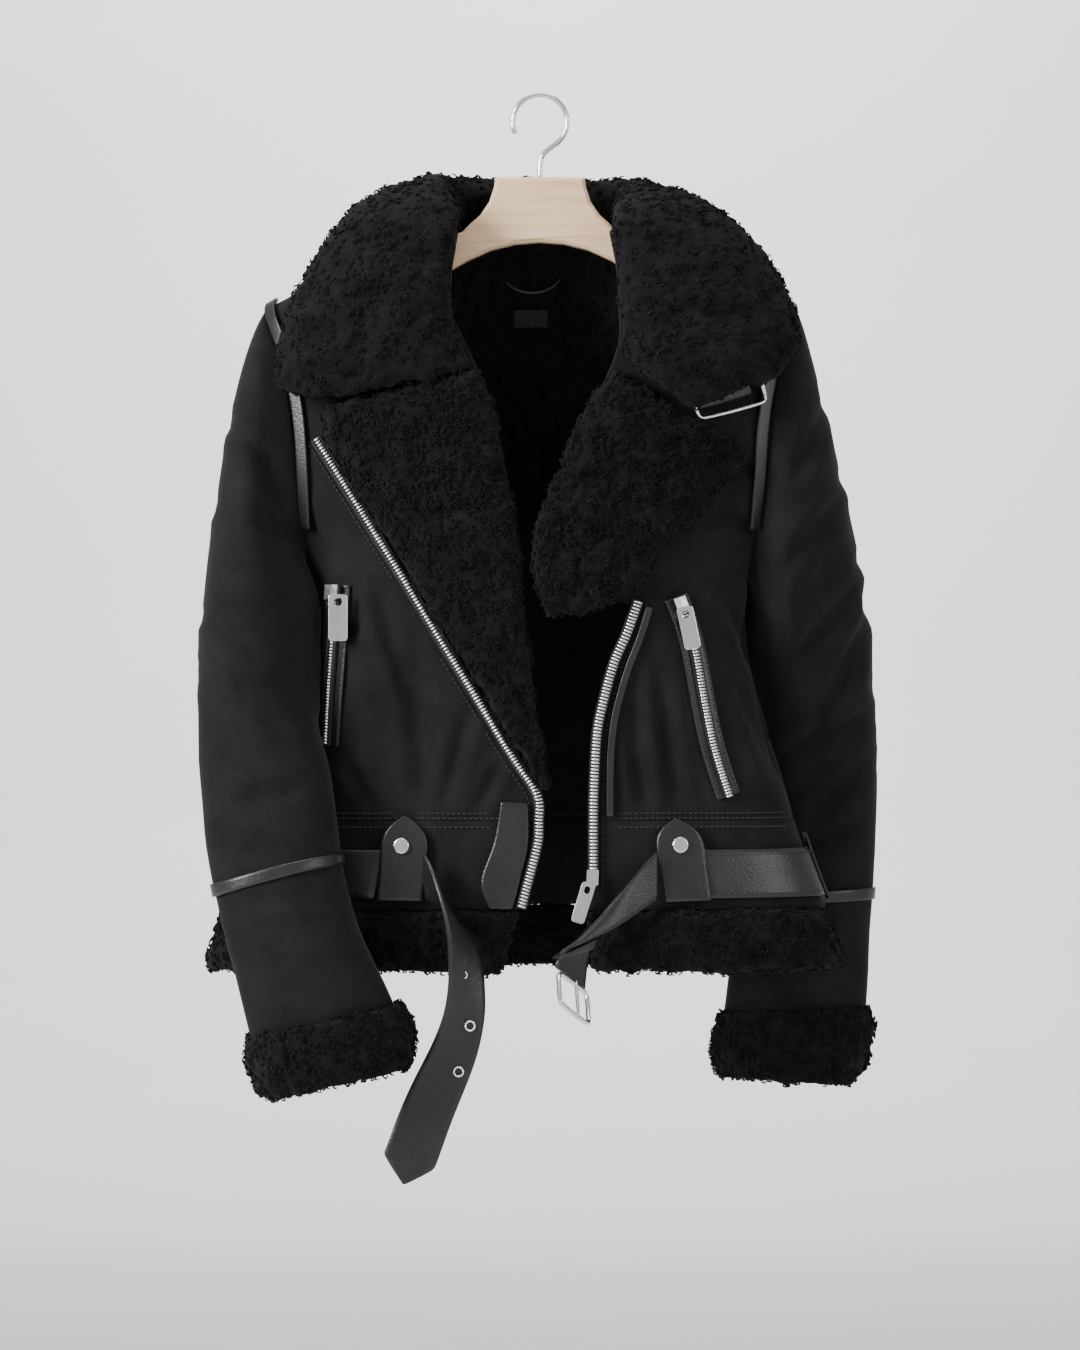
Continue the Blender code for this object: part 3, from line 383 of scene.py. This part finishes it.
# Creases of the cloth: start x and drop, end x and drop, half width, height (below 0 is a trough)
FRONT_CREASES = [
    (-150, 428, -176, 446, 5, -3.2),
    (-128, 400, -108, 470, 7, -3.0),
    (-100, 452, -92, 560, 8, -3.2),
    (-58, 500, -76, 566, 6, -2.6),
    (-150, 540, -128, 576, 6, -2.4),
    (-34, 540, -52, 576, 5, -2.2),
    (72, 500, 84, 572, 6, -2.6),
    (96, 470, 108, 560, 6, -2.4),
    (160, 470, 190, 540, 8, -3.0),
    (150, 400, 172, 452, 7, -2.8),
    (150, 330, 176, 356, 6, -2.6),
    (140, 300, 184, 300, 7, -2.2),
    (-190, 330, -168, 372, 6, -2.4),
]
BACK_CREASES = [
    (-150, 330, -110, 420, 8, -3.0),
    (-140, 460, -84, 560, 9, -3.2),
    (-60, 380, -70, 540, 8, -2.8),
    (20, 420, 40, 566, 7, -2.8),
    (90, 350, 100, 540, 9, -3.2),
    (150, 300, 118, 400, 8, -2.8),
    (150, 430, 172, 560, 8, -3.0),
    (-30, 220, 40, 236, 9, -2.0),
    (-20, 560, 24, 574, 6, -2.0),
]
SLEEVE_CREASES = {
    RIGHT: [
        (-246, 262, -214, 296, 7, -3.0),
        (-252, 330, -212, 352, 7, -3.2),
        (-262, 420, -222, 446, 6, -3.6),
        (-262, 448, -214, 470, 6, 2.0),
        (-258, 470, -204, 502, 7, -3.8),
        (-256, 520, -220, 540, 6, -3.2),
        (-232, 560, -190, 552, 6, -3.4),
        (-248, 590, -206, 610, 7, -3.6),
        (-228, 640, -186, 634, 6, -3.2),
        (-238, 668, -200, 690, 6, -3.2),
    ],
    LEFT: [
        (232, 250, 206, 300, 7, -3.0),
        (238, 330, 200, 372, 7, -3.4),
        (254, 396, 214, 440, 6, -3.4),
        (262, 430, 226, 500, 7, -3.8),
        (262, 500, 206, 522, 6, -3.6),
        (262, 540, 224, 574, 6, -3.4),
        (250, 590, 196, 606, 7, -3.8),
        (262, 622, 222, 640, 6, -3.0),
        (236, 660, 180, 668, 6, -3.4),
    ],
}


# How much deeper every crease is drawn than its table says
CREASE_GAIN = 1.5


def crease_height(points, creases):
    """The creases' height at points, seen from the front."""
    x, drop = points[:, 0], -points[:, 2]
    total = np.zeros(len(points))
    for ax, ad, bx, bd, width, height in creases:
        along = np.array([bx - ax, bd - ad], float)
        length = float(np.hypot(*along))
        s = ((x - ax) * along[0] + (drop - ad) * along[1]) / length ** 2
        away = np.abs((x - ax) * along[1] - (drop - ad) * along[0]) / length
        fade = np.clip(np.minimum(s + 0.25, 1.25 - s) * 3, 0, 1)
        total += CREASE_GAIN * height * fade * (np.exp(-(away / width) ** 2)
                                                - 0.4 * np.exp(-((away - 2.0 * width) / width) ** 2))
    return total


def unevenness(points, size, height):
    """Low uneven swells that are the same for every piece at the same place."""
    return np.array([noise.noise(Vector(p) / size) for p in points.tolist()]) * height


# How far in front of the body's side each sleeve folds over it
LEAN = {RIGHT: 40, LEFT: -40}

# How far each sleeve reaches over the body's side, and the drop, half height and half depth of that stretch
SIDE_COVER = (28.0, 412, 60, 22)

# The waist seam's drop as the bands start there, how far they are raised to it, and the fronts' upper end
BAND_TOP = 584
BAND_RAISE = 1.3
YOKE_TOP = 112

# How much lower the creases lie on a sleeve's back, and the size and height of the cloth's low swells
BACK_SHIFT = 22
CLOTH_SWELL = (36.0, 0.9)

# The drop of the strip across each sleeve, where the creases are pressed flat
STRIP_DROP = {RIGHT: 619, LEFT: 636}
STRIP_CALM = 20

# The drop from which a sleeve's end is drawn into its cuff, and how far
CUFF_REACH = {RIGHT: (705, (3.0, 0.0, -9.0)), LEFT: (705, (-1.0, 0.0, -9.0))}

CLOTH = {
    "front_right": 3, "front_left": 3, "back": 2, "band_right": 2, "band_left": 2, "band_back": 2,
    "sleeve_right": 2, "sleeve_left": 2,
}


def sleeve_middle(points, side):
    """The x and y of the sleeve's centre line at the height of each point."""
    drops, *places = np.array(SLEEVE_MIDDLES[side]).T
    return np.stack([np.interp(-points[:, 2], drops, place) for place in places], 1)


def cloth():
    for node, levels in CLOTH.items():
        mesh = fine_mesh(node, levels, True)
        points, normals = points_of(mesh)
        if node.startswith("sleeve"):
            side = RIGHT if node.endswith("right") else LEFT
            outward = points[:, :2] - sleeve_middle(points, side)
            outward /= np.maximum(np.linalg.norm(outward, axis=1, keepdims=True), 1e-6)
            outside = (normals[:, :2] * outward).sum(1) > 0.15
            front = np.clip(-outward[:, 1] * 1.6 + 0.35, 0, 1)
            mirrored = points.copy()
            mirrored[:, 2] -= BACK_SHIFT
            height = crease_height(points, SLEEVE_CREASES[side]) * front
            height += crease_height(mirrored, SLEEVE_CREASES[side]) * (1 - front)
            ends = np.clip((-points[:, 2] - 200) / 60, 0, 1)
            ends = ends * (1 - np.exp(-((points[:, 2] + STRIP_DROP[side]) / STRIP_CALM) ** 4))
            inward = np.clip(-side * normals[:, 0], 0, 1)
            reach, drop, tall, deep = SIDE_COVER
            points[:, 0] -= side * reach * (inward * np.exp(-((points[:, 2] + drop) / tall) ** 2)
                                            * np.exp(-((points[:, 1] + LEAN[side]) / deep) ** 2))
            end = np.clip((-points[:, 2] - CUFF_REACH[side][0]) / 30, 0, 1)
            points += end[:, None] * np.array(CUFF_REACH[side][1])
        else:
            outward = np.sign(points[:, 1])
            outside = normals[:, 1] * outward > 0.1
            creases = BACK_CREASES if "back" in node else FRONT_CREASES
            height = crease_height(points, creases)
            ends = np.clip((BAND_TOP + points[:, 2]) / 30, 0, 1) * np.clip((-points[:, 2] - YOKE_TOP) / 30, 0, 1)
            if "band" in node:
                ends = ends * 0
                points[:, 2] += np.where(points[:, 2] > -BAND_TOP, BAND_RAISE, 0.0)
        height = height * ends + unevenness(points, *CLOTH_SWELL) * np.minimum(ends + 0.3, 1)
        points += normals * (height * outside)[:, None]
        mesh.vertices.foreach_set("co", (points * MM).astype(np.float32).ravel())
        mesh.update()
        obj = add(node + "_cloth", mesh, "suede")
        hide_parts(node)


# Shearling: node, locks, levels of the base
FUR = {
    "collar": (5600, 2), "lapel_right": (3400, 2), "lapel_left": (2500, 3), "hem_back": (2600, 1),
    "hem_right": (1300, 2), "hem_left": (1200, 2), "cuff_right": (1700, 2), "cuff_left": (1700, 2),
}
LOCK_RINGS = 5
FLEECE_SWELLS = [(6.0, 2.2), (17.0, 3.0)]
FLEECE_REACH = {"collar": 1.8, "cuff_left": -0.6, "cuff_right": -0.6}


def locks(name, mesh, count, seed, allowed=None, size=1.0):
    """Small curled locks of wool that stand on a mesh's faces, as one mesh."""
    points, _ = points_of(mesh)
    mesh.calc_loop_triangles()
    corners = np.empty(len(mesh.loop_triangles) * 3, np.int32)
    mesh.loop_triangles.foreach_get("vertices", corners)
    corners = corners.reshape(-1, 3)
    a, b, c = points[corners[:, 0]], points[corners[:, 1]], points[corners[:, 2]]
    cross = np.cross(b - a, c - a)
    areas = np.linalg.norm(cross, axis=1)
    face_normals = cross / np.maximum(areas[:, None], 1e-9)
    if allowed is not None:
        areas = areas * allowed((a + b + c) / 3, face_normals)
    draw = np.random.default_rng(seed)
    chosen = draw.choice(len(areas), count, p=areas / areas.sum())
    u, v = draw.random(count), draw.random(count)
    fold = u + v > 1
    u[fold], v[fold] = 1 - u[fold], 1 - v[fold]
    roots = a[chosen] + (b - a)[chosen] * u[:, None] + (c - a)[chosen] * v[:, None]
    up = face_normals[chosen]
    side = np.cross(up, draw.normal(size=(count, 3)))
    side /= np.linalg.norm(side, axis=1, keepdims=True)
    other = np.cross(up, side)
    radius = draw.uniform(1.5, 2.9, count) * size
    turns = draw.uniform(0.75, 1.35, count) * 2 * math.pi * draw.choice([-1, 1], count)
    rise = draw.uniform(1.6, 3.4, count) * size
    thickness = draw.uniform(0.75, 1.15, count) * size
    rings = []
    for k in range(LOCK_RINGS):
        s = k / (LOCK_RINGS - 1)
        turn = turns * s
        reach = radius * (1 - 0.45 * s)
        centre = (roots + side * (np.cos(turn) * reach - radius * 0.5)[:, None]
                  + other * (np.sin(turn) * reach)[:, None]
                  + up * (-0.8 + rise * math.sin(math.pi * 0.62 * s))[:, None])
        width = thickness * (1.0 - 0.6 * s ** 2)
        outward = side * np.cos(turn)[:, None] + other * np.sin(turn)[:, None]
        rings.append([centre + outward * (np.cos(t) * width)[:, None] + up * (np.sin(t) * width)[:, None]
                      for t in (0.5, 2.6, 4.7)])
    grid = np.stack([np.stack(ring, 1) for ring in rings], 1)
    first = (np.arange(count) * LOCK_RINGS * 3)[:, None, None]
    ring_shift = (np.arange(LOCK_RINGS - 1) * 3)[None, :, None]
    around = np.arange(3)[None, None, :]
    following = (around + 1) % 3
    quads = np.stack([first + ring_shift + around, first + ring_shift + following,
                      first + ring_shift + 3 + following, first + ring_shift + 3 + around], -1)
    return from_arrays(name, grid.reshape(-1, 3), quads.reshape(-1, 4))


def fur():
    for seed, (node, (count, levels)) in enumerate(FUR.items()):
        mesh = fine_mesh(node, levels, node.startswith("cuff"))
        points, normals = points_of(mesh)
        swell = sum(unevenness(points, *layer) for layer in FLEECE_SWELLS)
        points += normals * (swell + FLEECE_REACH.get(node, 0.6))[:, None]
        mesh.vertices.foreach_set("co", (points * MM).astype(np.float32).ravel())
        mesh.update()
        base = add(node + "_fleece", mesh, "shearling")
        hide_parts(node)
        add(node + "_locks", locks(node + "_locks", mesh, count, 11 + seed), "shearling")


def lining():
    """The pile inside the back, where the open neck shows it."""
    def inside_neck(places, normals):
        near = (places[:, 2] > -330) & (np.abs(places[:, 0]) < 120)
        return near & (normals[:, 1] < -0.4) & (places[:, 1] > 0)

    mesh = fine_mesh("back", 1, True)
    add("back_lining", locks("back_lining", mesh, 1700, 40, inside_neck, 0.8), "shearling")
    bpy.data.meshes.remove(mesh)


# Zip teeth and stitches


def row_of_boxes(name, frames, size, look):
    """Small blocks, one for each (place, along, across, up) frame."""
    corner = np.array([(x, y, z) for x in (-0.5, 0.5) for y in (-0.5, 0.5) for z in (-0.5, 0.5)])
    block = np.array([(0, 1, 3, 2), (4, 6, 7, 5), (0, 4, 5, 1), (2, 3, 7, 6), (0, 2, 6, 4), (1, 5, 7, 3)])
    points, quads = [], []
    for k, (place, along, across, up) in enumerate(frames):
        axes = np.array([along, across, up])
        points.append(np.array(place) + (corner * size) @ axes)
        quads.append(block + 8 * k)
    mesh = from_arrays(name, np.concatenate(points), np.concatenate(quads), False)
    return add(name, mesh, look)


def frames_along(places, ups, pitch, offset=0.0):
    """Frames at even distances along a line of points with the given ways up."""
    places = np.array(places, float)
    ups = np.array(ups, float)
    run = np.concatenate([[0], np.cumsum(np.linalg.norm(np.diff(places, axis=0), axis=1))])
    result = []
    for at in np.arange(pitch / 2, run[-1], pitch):
        here = np.array([np.interp(at, run, places[:, k]) for k in range(3)])
        ahead = np.array([np.interp(min(at + 0.5, run[-1]), run, places[:, k]) for k in range(3)])
        behind = np.array([np.interp(max(at - 0.5, 0), run, places[:, k]) for k in range(3)])
        up = np.array([np.interp(at, run, ups[:, k]) for k in range(3)])
        up /= np.linalg.norm(up)
        along = ahead - behind
        along -= up * along.dot(up)
        along /= np.linalg.norm(along)
        across = np.cross(up, along)
        result.append((here + across * offset, along, across, up))
    return result


def front_line(line, lift, per_span=6, shift=0.0):
    """Points and ways up of a line of (x, drop) on the front, moved aside by shift."""
    middle = through([(x, drop, 0) for x, drop in line], per_span)
    places, ups = [], []
    for k, place in enumerate(middle):
        along = (middle[min(k + 1, len(middle) - 1)] - middle[max(k - 1, 0)]).normalized()
        spot = place + Vector((along.y, -along.x, 0)) * shift
        low, high = on_front(spot.x, spot.y, lift), on_front(spot.x, spot.y, lift + 1)
        places.append(low)
        ups.append(high - low)
    return places, ups


def zips():
    for side, name in ((RIGHT, "right"), (LEFT, "left")):
        frames = frames_along(*front_line(ZIP_LINES[side], TRIM_TOP + 0.5), 2.7)
        row_of_boxes(f"zip_{name}_teeth", frames, (1.55, 6.4, 2.0), "zip_teeth")
        frames = frames_along(*front_line(POCKET_LINES[side], POCKET_TOP + 0.4), 2.5)
        row_of_boxes(f"pocket_zip_{name}_teeth", frames, (1.45, 5.2, 1.6), "zip_teeth")
        for node in (f"zip_{name}", f"pocket_zip_{name}"):
            NODES[node].data.materials.clear()
            NODES[node].data.materials.append(LOOKS["zip_tape"])


STITCH = (3.0, 0.7, 0.6)
STITCH_PITCH = 4.3


def stitch_lines():
    """Lines of stitching on the fronts and round the belt: places and ways up."""
    result = []
    for side in (RIGHT, LEFT):
        for shift in (-8.0, 8.0):
            result.append(front_line(POCKET_LINES[side], 3.5, 6, shift))
        result.append(front_line(ZIP_LINES[side], 0.6, 6, 8.0 if side == LEFT else -8.0))
    for drop in (573.5, 577.5, 584.5):
        for first, last in ((-205, -40 if drop > 580 else -32), (62, 195)):
            result.append(front_line([(first + (last - first) * k / 6, drop) for k in range(7)], 0.5, 4))
        angles = [192 + 156 * k / 60 for k in range(61)]
        result.append(([skin(a, drop, 0.5) for a in angles],
                       [skin(a, drop, 1.5) - skin(a, drop, 0.5) for a in angles]))
    for drop in (606.5, 637.5):
        angles = [126 + 291 * k / 110 for k in range(111)]
        result.append(([skin(a, drop, BELT_FACE) for a in angles],
                       [skin(a, drop, BELT_FACE + 1) - skin(a, drop, BELT_FACE) for a in angles]))
    return result


# Eyelets of the belt's tail: x, y, drop, tilt across in degrees, size
EYELETS = [(-60, -89, 700, 20, 2.6), (-55, -90, 740, 5, 3.6), (-64, -90, 776, 4, 3.6)]


def eyelets():
    frames = []
    for x, y, drop, tilt, size in EYELETS:
        up = np.array([math.sin(math.radians(-tilt)), -math.cos(math.radians(tilt)), 0.0])
        for k in range(14):
            turn = 2 * math.pi * k / 14
            across = np.array([math.cos(math.radians(tilt)), -math.sin(math.radians(tilt)), 0.0])
            ring = across * math.cos(turn) + np.array([0, 0, 1.0]) * math.sin(turn)
            along = np.cross(up, ring)
            frames.append((np.array([x, y, -drop]) + ring * size, along, ring, up))
    row_of_boxes("eyelets", frames, (1.9, 1.3, 1.0), "steel")


def stitches():
    frames = []
    for places, ups in stitch_lines():
        frames += frames_along(places, ups, STITCH_PITCH)
    row_of_boxes("stitches", frames, STITCH, "thread")


# Leather, metal and the hanger


# How much thicker a wire is drawn after its smoothing, in millimetres
WIRE_GAIN = 0.35


def finish_node(node, look, width=0.0, smooth=0):
    obj = NODES[node]
    obj.data.materials.clear()
    obj.data.materials.append(LOOKS[look])
    weld = obj.modifiers.new("weld", "WELD")
    weld.merge_threshold = 0.00001
    if smooth:
        fine = obj.modifiers.new("fine", "SUBSURF")
        fine.levels = fine.render_levels = smooth
        full = obj.modifiers.new("full", "DISPLACE")
        full.strength = WIRE_GAIN * MM
        full.mid_level = 0.0
    if width:
        edge = obj.modifiers.new("edge", "BEVEL")
        edge.width = width * MM
        edge.segments = 2
        edge.limit_method = "ANGLE"
        edge.angle_limit = 0.7


# How much closer a sleeve's strip lies to its sleeve than the solid does
STRIP_PULL = 0.9


def tighten(mesh, side):
    """Draws a strip in towards the middle of its sleeve."""
    points, _ = points_of(mesh)
    away = points[:, :2] - sleeve_middle(points, side)
    points[:, :2] -= away / np.linalg.norm(away, axis=1, keepdims=True) * STRIP_PULL
    mesh.vertices.foreach_set("co", (points * MM).astype(np.float32).ravel())
    mesh.update()


def trims():
    for item in frame["record"]["subparts"]:
        node, kind = item["node"], item["material_slot"]
        if kind == "leather":
            mesh = fine_mesh(node, 2, node != "hanging_loop")
            if node.startswith("sleeve_strip"):
                tighten(mesh, RIGHT if node.endswith("right") else LEFT)
            piece = add(node + "_leather", mesh, "leather")
            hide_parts(node)
        elif kind == "steel":
            wires = ("belt_buckle", "belt_prong", "collar_buckle", "hanger_hook")
            finish_node(node, "steel", 0.0 if node in wires else 0.35, 2 if node in wires else 0)
        elif kind == "wood":
            finish_node(node, "wood", 1.2)
        elif kind == "label":
            finish_node(node, "label", 0.2)


# Floor, light and camera


# The photo's height in pixels, and a row of it with its drop, which set the camera's height
PHOTO_HEIGHT = 1350
COLLAR_ROW = 170
COLLAR_DROP = 65
CAMERA_DISTANCE = 4.4


def studio():
    pale = Look("studio", 0.9)
    pale.colour(pale.ramp(pale.noise(3), (0.2, grey(0.74)), (0.8, grey(0.77))))
    outline = [(-7.0, -1.3), (2.6, -1.3), (4.4, -1.28), (5.4, -1.1), (6.1, -0.7), (6.5, 0.1), (6.6, 1.2),
               (6.6, 4.5)]
    profile = through([(0, y, z) for y, z in outline], 6)
    points = [(x * 1000, p.y * 1000, p.z * 1000) for x in (-8.0, 8.0) for p in profile]
    count = len(profile)
    quads = np.array([(k, k + 1, count + k + 1, count + k) for k in range(count - 1)])
    sweep = bpy.data.objects.new("studio_sweep", from_arrays("studio_sweep", points, quads))
    bpy.context.scene.collection.objects.link(sweep)
    sweep.data.materials.append(pale.material)

    def area(name, place, target, size, power):
        data = bpy.data.lights.new(name, "AREA")
        data.shape = "RECTANGLE"
        data.size, data.size_y = size
        data.energy = power
        lamp = bpy.data.objects.new(name, data)
        lamp.location = place
        lamp.rotation_euler = (Vector(target) - Vector(place)).to_track_quat("-Z", "Y").to_euler()
        bpy.context.scene.collection.objects.link(lamp)

    area("key", (-2.2, -1.6, 0.6), (0, 0, -0.45), (0.9, 1.5), 125)
    area("fill", (2.3, -2.0, 0.2), (0, 0, -0.45), (1.2, 1.6), 22)
    area("top", (0, -0.2, 1.9), (0, 0, -0.4), (1.8, 1.2), 30)
    area("back", (0, 4.6, 2.2), (0, 6.5, -0.5), (2.4, 1.2), 190)
    world = bpy.data.worlds.new("studio")
    world.use_nodes = True
    world.node_tree.nodes["Background"].inputs["Color"].default_value = (0.86, 0.88, 0.9, 1)
    world.node_tree.nodes["Background"].inputs["Strength"].default_value = 0.62
    bpy.context.scene.world = world

    data = bpy.data.cameras.new("camera")
    data.sensor_width = 36
    data.lens = CAMERA_DISTANCE * data.sensor_width / (PHOTO_HEIGHT * PIXEL * MM)
    camera = bpy.data.objects.new("camera", data)
    middle = -(COLLAR_DROP + (PHOTO_HEIGHT / 2 - COLLAR_ROW) * PIXEL) * MM
    camera.location = (0, -CAMERA_DISTANCE - 0.07, middle)
    camera.rotation_euler = (math.pi / 2, 0, 0)
    bpy.context.scene.collection.objects.link(camera)
    bpy.context.scene.camera = camera


studio()
cloth()
fur()
lining()
zips()
stitches()
eyelets()
trims()
